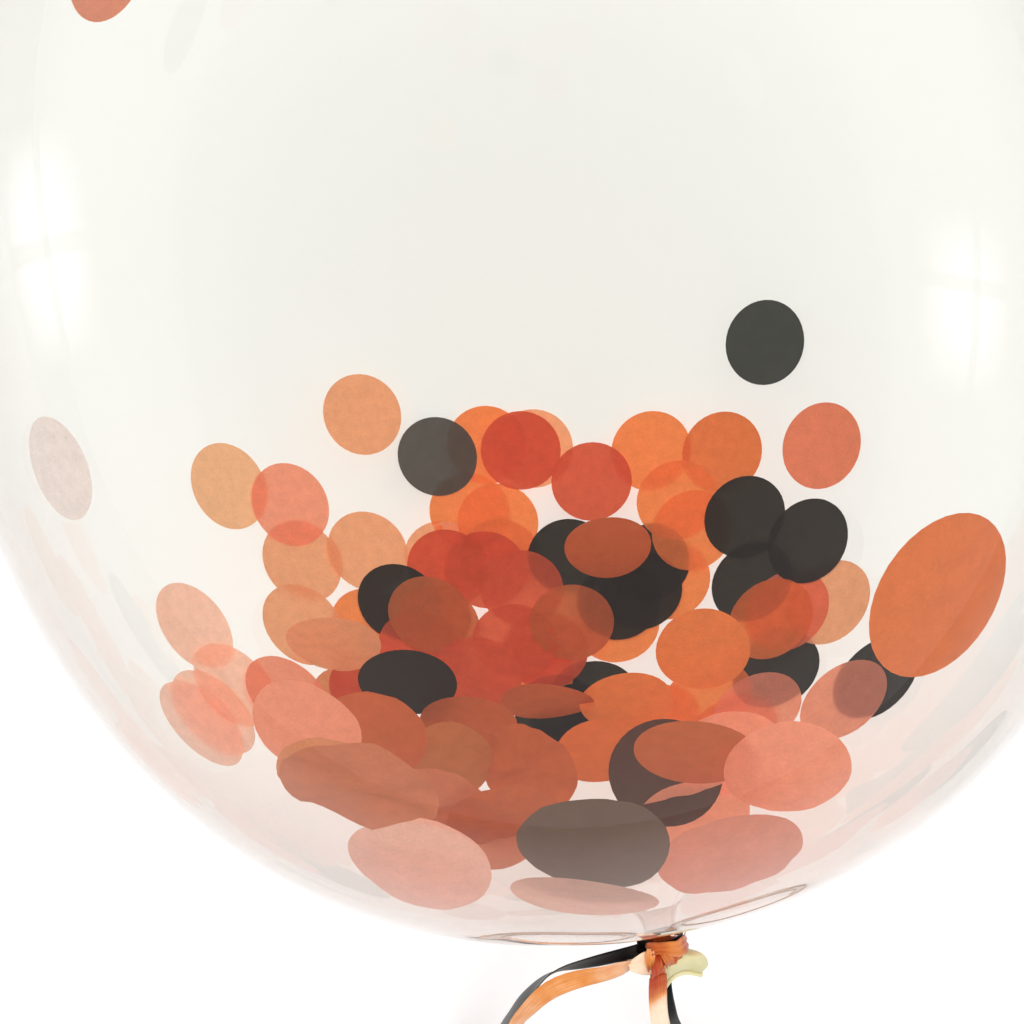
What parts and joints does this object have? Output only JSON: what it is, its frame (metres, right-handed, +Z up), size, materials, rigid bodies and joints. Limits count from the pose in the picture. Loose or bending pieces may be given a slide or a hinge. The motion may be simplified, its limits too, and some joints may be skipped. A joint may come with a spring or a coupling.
{
  "type": "confetti balloon",
  "caption": "Clear balloon holding loose paper discs, tied at the neck with two ribbons; it lies on its side with the ribbon ends coiled beside it.",
  "frame": {"origin": "the middle of the small flat spot on the balloon's underside that it rests on, at floor level", "axes": "+Z up from the floor; +Y along the balloon's long axis, from the tied neck towards the top; +X to the right when the neck points towards the viewer's feet"},
  "size_m": [0.2398, 0.4265, 0.2379],
  "materials": {
    "clear_film": "thin clear stretched film with a high gloss, very slightly cream",
    "orange_ribbon": "glossy orange satin ribbon, 5 mm wide",
    "black_ribbon": "glossy black satin ribbon, 5 mm wide"
  },
  "bodies": {
    "root": {"balloon": "clear_film", "orange_ribbon_knot": "orange_ribbon", "black_ribbon_knot": "black_ribbon", "orange_ribbon_left": "orange_ribbon", "black_ribbon_left": "black_ribbon", "orange_ribbon_down": "orange_ribbon", "black_ribbon_down": "black_ribbon", "orange_coil_left": "orange_ribbon", "black_coil_left": "black_ribbon", "orange_coil_right": "orange_ribbon", "black_coil_right": "black_ribbon"}
  },
  "joints": []
}
